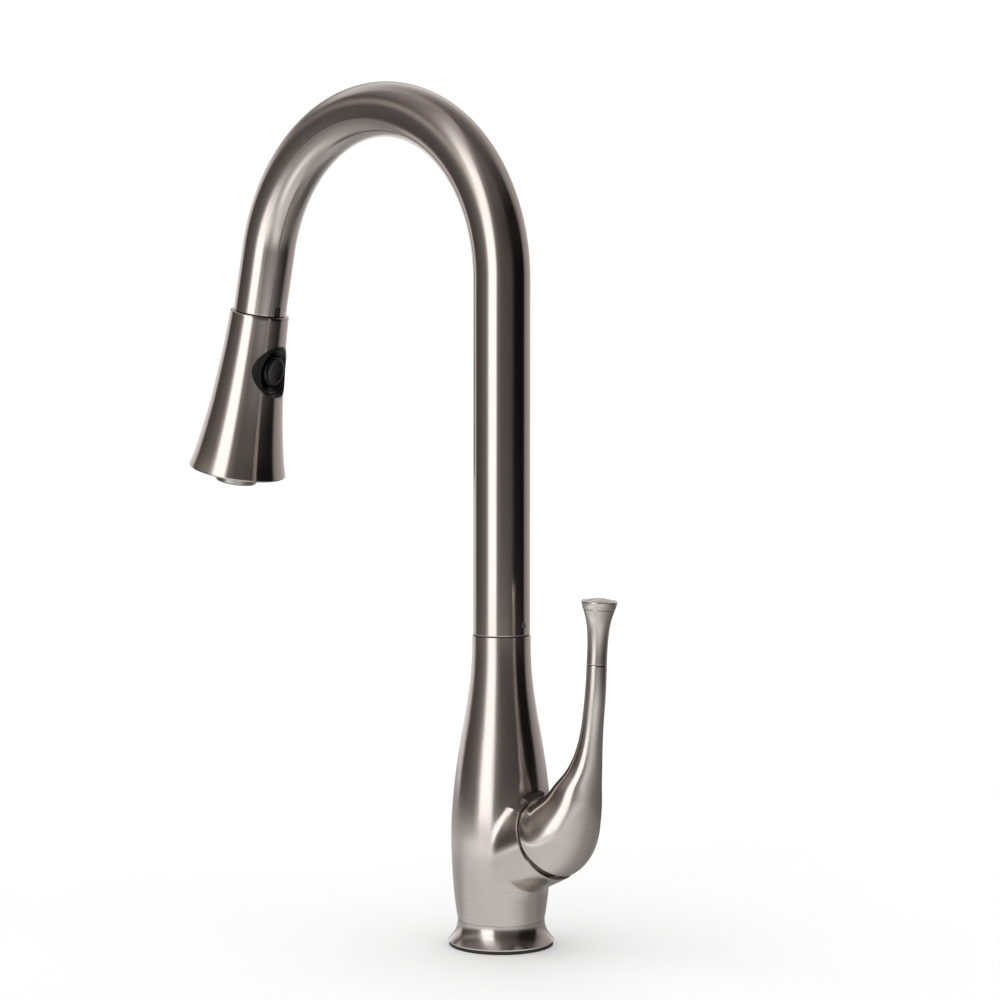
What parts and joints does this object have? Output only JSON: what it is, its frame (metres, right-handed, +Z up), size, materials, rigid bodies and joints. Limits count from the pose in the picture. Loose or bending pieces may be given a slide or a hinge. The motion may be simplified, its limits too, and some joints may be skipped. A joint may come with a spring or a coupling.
{
  "type": "pull-down kitchen faucet",
  "caption": "Single-hole pull-down kitchen faucet: tapered body with side lever, swivelling gooseneck spout and a flared spray head with a mode button that docks on its hose.",
  "frame": {"origin": "centre of the gasket's underside, on the deck and on the column's axis", "axes": "+Z up along the column; the spout reaches towards -X at rest and the lever stands on the +X side; XZ is the plane of symmetry"},
  "size_m": [0.2945, 0.052, 0.4229],
  "materials": {
    "brushed_nickel": "fine circumferential brushing, clear satin nickel plating, warm grey",
    "nickel_knob": "finely brushed nickel, turned",
    "bonnet_metal": "polished nickel, slightly dulled",
    "black_rubber": "matt moulded rubber",
    "seal_rubber": "lightly greased nitrile",
    "black_plastic": "satin black ABS, lightly polished",
    "button_plastic": "semi-gloss black ABS",
    "black_acetal": "matt black acetal",
    "white_acetal": "matt natural acetal",
    "cartridge_plastic": "matt glass-filled grey plastic",
    "ceramic": "lapped alumina ceramic",
    "brass": "machined brass, satin",
    "steel": "stainless steel, bright",
    "hose_braid": "grey nylon braid",
    "grey_face": "satin grey ABS",
    "nozzle_rubber": "soft dark grey silicone",
    "satin_silver": "satin nickel-coated ABS ring"
  },
  "bodies": {
    "base": {"deck_gasket": "black_rubber", "base_flange": "brushed_nickel", "faucet_body": "brushed_nickel", "cartridge_body": "cartridge_plastic", "port_seals": "seal_rubber", "fixed_disc": "ceramic", "retaining_nut": "brass", "cartridge_bonnet": "bonnet_metal", "spout_adapter": "brass", "spout_o_rings": "seal_rubber", "glide_ring": "black_acetal", "hose_lower": "hose_braid", "hose_tail_fitting": "brass"},
    "carrier": {"cartridge_carrier": "white_acetal", "pivot_pin": "steel"},
    "disc": {"moving_disc": "ceramic", "disc_driver": "white_acetal"},
    "handle": {"control_stem": "steel", "handle_lever": "brushed_nickel", "handle_set_screw": "steel", "handle_knob": "nickel_knob", "knob_stud": "steel", "knob_cap": "nickel_knob"},
    "spout": {"spout_tube": "brushed_nickel", "spout_set_screw": "steel", "dock_insert": "black_acetal", "hose_upper": "hose_braid"},
    "hose_end": {"hose_pull_section": "hose_braid", "hose_ferrule": "steel", "hose_end_fitting": "brass"},
    "spray_head": {"head_shell": "brushed_nickel", "head_core": "black_plastic", "neck_washer": "seal_rubber", "swivel_seal": "seal_rubber", "retaining_clip": "steel", "check_valve": "white_acetal", "button_bezel": "black_plastic", "button_spring": "steel", "spray_face": "grey_face", "spray_nozzles": "nozzle_rubber", "aerator_housing": "satin_silver", "aerator_insert": "white_acetal", "aerator_washer": "seal_rubber"},
    "button": {"mode_button": "button_plastic", "diverter_spool": "white_acetal"}
  },
  "joints": [
    {"name": "spout_swivel", "type": "hinge", "parent": "base", "child": "spout", "pos_m": [0, 0, 0.151], "axis": [0, 0, 1], "range_deg": [-110, 110]},
    {"name": "temperature_turn", "type": "hinge", "parent": "base", "child": "carrier", "pos_m": [0.03151, 0, 0.05483], "axis": [0.9003, 0, 0.4352], "range_deg": [-45, 45]},
    {"name": "lever_lift", "type": "hinge", "parent": "carrier", "child": "handle", "pos_m": [0.03475, 0, 0.0564], "axis": [0, 1, 0], "range_deg": [0, 24]},
    {"name": "disc_slide", "type": "slide", "parent": "carrier", "child": "disc", "axis": [-0.4352, 0, 0.9003], "range_m": [0, 0.0047]},
    {"name": "pull_down", "type": "slide", "parent": "spout", "child": "hose_end", "axis": [-0.2164, 0, -0.9763], "range_m": [0, 0.2], "stiffness_N_per_m": 12, "springref_m": -0.35, "deforming": ["hose_pull_section"]},
    {"name": "head_swivel", "type": "hinge", "parent": "hose_end", "child": "spray_head", "pos_m": [-0.17818, 0, 0.30771], "axis": [-0.2164, 0, -0.9763], "continuous": true},
    {"name": "mode_press", "type": "slide", "parent": "spray_head", "child": "button", "axis": [-0.955, -0.2079, 0.2117], "range_m": [0, 0.0018], "stiffness_N_per_m": 900, "springref_m": -0.001, "deforming": ["button_spring"]}
  ],
  "couplings": [
    {"joint": "disc_slide", "follows": "lever_lift", "m_per_rad": 0.0106}
  ]
}
